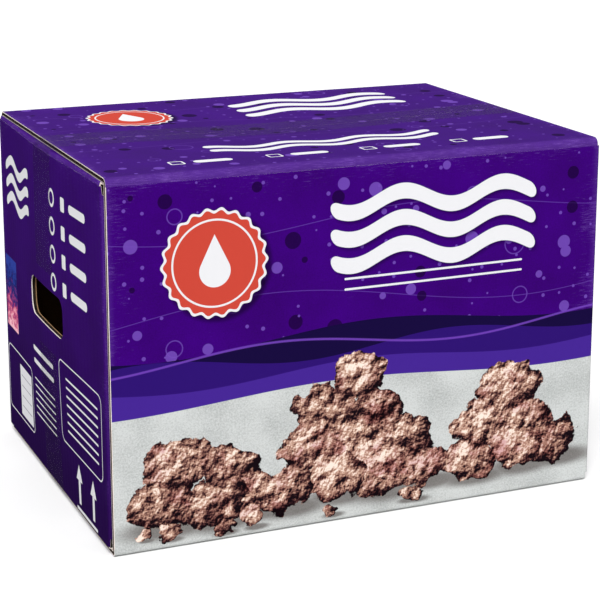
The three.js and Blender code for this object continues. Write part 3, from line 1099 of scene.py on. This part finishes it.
film_end = CUT_END + FILM_LIFT + FILM
film_top = TOP + FILM_LIFT
over_path = path(
    (film_end, TOP_TAPE_DROP), (film_end, film_top), (-film_end, film_top), (-film_end, TOP_TAPE_DROP)
)
over_drop = film_top - TOP_TAPE_DROP
over_length = 2 * (over_drop + film_end)
over_runs = steps(
    0,
    (over_drop, FILM_FOLD),
    (over_drop + FILM_FOLD, FILM_FOLD / 3),
    (over_length - over_drop - FILM_FOLD, FLAT_STEP),
    (over_length - over_drop, FILM_FOLD / 3),
    (over_length, FILM_FOLD),
)
for side, low, high in (("front", 0, TAPE_HALF), ("back", -TAPE_HALF, 0)):

    def fold_over(run, across, depth):
        spot = folded(over_path, FILM_FOLD, run, depth)
        return sunk(Vector((spot.x, -across, spot.y)))

    across = steps(low, (high, TAIL_STEP))
    film(f"{side}_top_film", over_runs, across, fold_over, f"{side}_flap", f"{side}_top_tape")

tail_x = HALF_LENGTH + FILM_LIFT + FILM
ledge_x = CUT_END + 3 * (FILM_LIFT + FILM)
ledge_z = INNER_TOP + FILM_LIFT + FILM
tail_path = path((tail_x, TOP_TAIL_LOW), (tail_x, ledge_z), (ledge_x, ledge_z))
tail_top = ledge_z - TOP_TAIL_LOW
tail_end = tail_top + tail_x - ledge_x
tail_runs = steps(0, (tail_top - FILM_FOLD, TAIL_STEP), (tail_end, FILM_FOLD / 2))
tape_columns = steps(-TAPE_HALF, (TAPE_HALF, TOOTH_PITCH))
for side in ("left", "right"):

    def fold_tail(across, run, depth):
        spot = folded(tail_path, FILM_FOLD, run + (tooth(across) if run == 0 else 0), depth)
        place = raised(turned(side, Vector((across, -spot.x, spot.y))))
        return bowed_out(place, ledge_x) - Vector((0, 0, sag(place)))

    film(f"{side}_top_tail_film", tape_columns, tail_runs, fold_tail, "carton", f"{side}_tape_tail")

under_path = path(
    (-tail_x, BOTTOM_TAIL_HIGH),
    (-tail_x, BOARD),
    (-film_end, FLOOR_GAP),
    (film_end, FLOOR_GAP),
    (tail_x, BOARD),
    (tail_x, BOTTOM_TAIL_HIGH),
)
under_runs = [0]
for leg_start, leg_end in zip(under_path, under_path[1:]):
    leg = (leg_end - leg_start).length
    step = TAIL_STEP if leg > 2 * BOARD else FILM_FOLD
    under_runs += steps(under_runs[-1], (under_runs[-1] + leg, step))[1:]


def fold_under(run, across, depth):
    if run == 0:
        run += tooth(across)
    if run == under_runs[-1]:
        run -= tooth(across)
    spot = folded(under_path, FILM_FOLD, run, depth)
    return bowed_out(Vector((spot.x, -across, spot.y)), film_end)


film("bottom_film", under_runs, tape_columns, fold_under, "carton", "bottom_tape")

# Studio
# A plain pale floor that runs out of sight, a large soft light from the front left and a pale room.
# The floor lies a little under the carton and isn't mirrored in the tape.
FLOOR_SIZE = 12
FLOOR_DROP = 0.5 * MM
KEY_WAY = (0.24, 0.55, -0.8)

bpy.ops.mesh.primitive_plane_add(size=FLOOR_SIZE, location=(0, 0, -FLOOR_DROP))
floor = bpy.context.object
floor.name = "floor"
pale_floor = new_material("pale_floor")
floor_shader = add_node(pale_floor, "BsdfPrincipled", {"Base Color": linear("efefee"), "Roughness": 0.9})
add_node(pale_floor, "OutputMaterial", [floor_shader])
floor.data.materials.append(pale_floor)
floor.visible_glossy = False

room = bpy.data.worlds.new("pale_room")
room.use_nodes = True
room.node_tree.nodes.clear()
seen = add_node(room, "LightPath", out="Is Camera Ray")
way = add_node(room, "TexCoord", out="Generated")
high = add_node(room, "SeparateXYZ", [way], out="Z")
soft = add_node(room, "MapRange", [high, 0, 1, 0.06, 1])
bright = maths(room, "MAXIMUM", soft, seen)
backdrop = add_node(room, "Background", {"Color": (1, 1, 1, 1), "Strength": bright})
add_node(room, "OutputWorld", [backdrop])
bpy.context.scene.world = room

bpy.ops.object.light_add(type="SUN", location=(-1, -2, 2))
key = bpy.context.object
key.name = "key_light"
key.data.energy = 2.8
key.data.angle = math.radians(25)
key.rotation_euler = Vector(KEY_WAY).to_track_quat("-Z", "Y").to_euler()
bpy.context.scene.view_settings.view_transform = "Standard"
